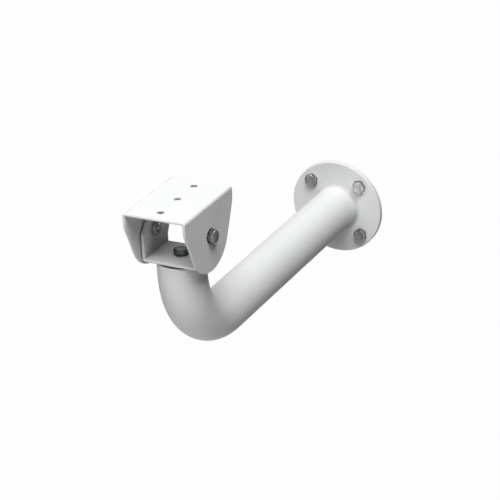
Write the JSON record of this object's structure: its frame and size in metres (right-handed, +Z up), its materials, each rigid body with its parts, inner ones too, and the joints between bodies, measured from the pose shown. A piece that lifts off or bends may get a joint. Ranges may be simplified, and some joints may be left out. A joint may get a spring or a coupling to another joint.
{
  "type": "camera wall bracket",
  "caption": "White steel wall bracket for a camera: round wall plate, upturned tube arm and a folded head that pans and tilts on bolts.",
  "frame": {"origin": "centre of the wall plate's back face, in the wall's plane, on the tube's axis and at the centre of the four wall bolts", "axes": "+Z up, +Y into the wall along the bolts, so the arm runs out along -Y; +X to the right seen from the front"},
  "size_m": [0.104, 0.4083, 0.2033],
  "materials": {
    "powder_coat": "white powder coat, semi-gloss with a slight orange peel",
    "plated_fastener": "bright zinc plated steel",
    "dark_steel": "black oxide steel",
    "friction_washer": "black fibre friction washer"
  },
  "bodies": {
    "arm": {"wall_flange": "powder_coat", "arm_tube": "powder_coat", "flange_weld": "powder_coat", "tube_end_cap": "powder_coat", "pan_weld_nut": "plated_fastener", "pan_bolt": "dark_steel", "pan_washer": "dark_steel", "wall_bolt_upper_left": "plated_fastener", "wall_bolt_upper_right": "plated_fastener", "wall_bolt_lower_left": "plated_fastener", "wall_bolt_lower_right": "plated_fastener"},
    "yoke": {"yoke": "powder_coat", "tilt_bolt_left": "plated_fastener", "tilt_bolt_right": "plated_fastener", "tilt_lock_washer_left": "dark_steel", "tilt_lock_washer_right": "dark_steel", "tilt_nut_left": "powder_coat", "tilt_nut_right": "powder_coat", "tilt_friction_washer_left": "friction_washer", "tilt_friction_washer_right": "friction_washer"},
    "saddle": {"saddle": "powder_coat"}
  },
  "joints": [
    {"name": "pan", "type": "hinge", "parent": "arm", "child": "yoke", "pos_m": [0, -0.35, 0.091], "axis": [0, 0, 1], "continuous": true},
    {"name": "tilt", "type": "hinge", "parent": "yoke", "child": "saddle", "pos_m": [0, -0.35, 0.1185], "axis": [1, 0, 0], "range_deg": [-90, 90]}
  ]
}
